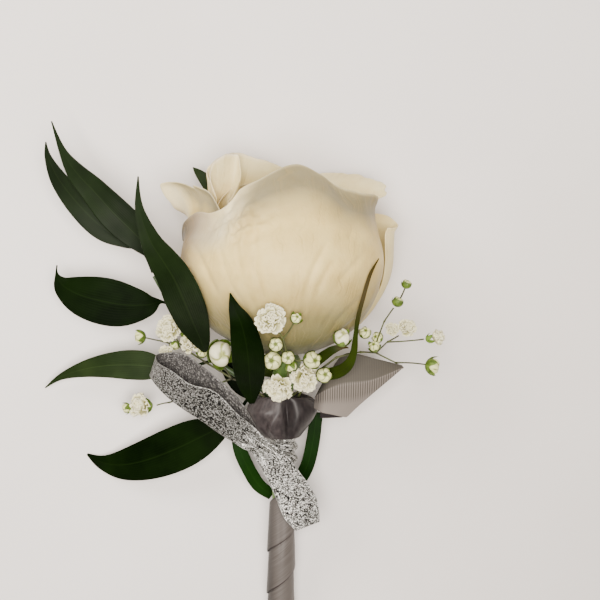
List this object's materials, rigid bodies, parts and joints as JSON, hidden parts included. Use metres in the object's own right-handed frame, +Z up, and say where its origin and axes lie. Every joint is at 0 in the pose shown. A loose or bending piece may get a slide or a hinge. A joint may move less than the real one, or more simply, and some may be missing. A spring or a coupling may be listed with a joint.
{
  "type": "flower lapel pin",
  "caption": "White rose buttonhole lying on its back, with dark leaves, baby's breath, a grey ribbon wound stem, a silver ribbon bow and a straight pin",
  "frame": {"origin": "on the surface that it lies on, under the middle of its box", "axes": "+Y from the stem end toward the bloom, +Z up out of the surface to the face that shows, +X to the right as seen from above"},
  "size_m": [0.1022, 0.138, 0.0519],
  "materials": {
    "rose_petal": "soft matt cream petal, thin enough to glow a little",
    "rose_stem": "green stem",
    "sepal": "bright green sepal, satin",
    "twig": "dark green twig",
    "leaf": "dark green glossy leaf",
    "strap_leaf": "green strap leaf, satin",
    "sprig": "thin green stems and closed buds",
    "blossom": "white ruffled petals, matt",
    "silver_ribbon": "silver glitter weave",
    "grey_ribbon": "warm grey satin",
    "pin": "polished steel"
  },
  "bodies": {
    "root": {"rose_core": "rose_petal", "petal_inner_1": "rose_petal", "petal_inner_2": "rose_petal", "petal_inner_3": "rose_petal", "petal_inner_4": "rose_petal", "petal_back_left": "rose_petal", "petal_back_right": "rose_petal", "petal_left": "rose_petal", "petal_right": "rose_petal", "petal_under": "rose_petal", "petal_front": "rose_petal", "rose_stem": "rose_stem", "sepal_right": "sepal", "sepal_front": "sepal", "sepal_left": "sepal", "leaf_top_front": "leaf", "leaf_top_back": "leaf", "leaf_bloom": "leaf", "leaf_left_high": "leaf", "leaf_left_low": "leaf", "leaf_bottom": "leaf", "leaf_centre": "leaf", "leaf_behind": "leaf", "leaf_neck": "leaf", "leaf_stem": "twig", "blade_left": "strap_leaf", "blade_right": "strap_leaf", "sprig_left": "sprig", "sprig_centre": "sprig", "sprig_right": "sprig", "blossom_1": "blossom", "blossom_2": "blossom", "blossom_3": "blossom", "blossom_4": "blossom", "blossom_5": "blossom", "blossom_6": "blossom", "blossom_7": "blossom", "blossom_8": "blossom", "blossom_9": "blossom", "blossom_10": "blossom", "blossom_11": "blossom", "blossom_12": "blossom", "stem_wrap": "grey_ribbon", "collar": "grey_ribbon", "collar_fold": "grey_ribbon", "grey_tail": "grey_ribbon", "silver_bow": "silver_ribbon", "silver_band": "silver_ribbon", "lapel_pin": "pin"}
  },
  "joints": []
}
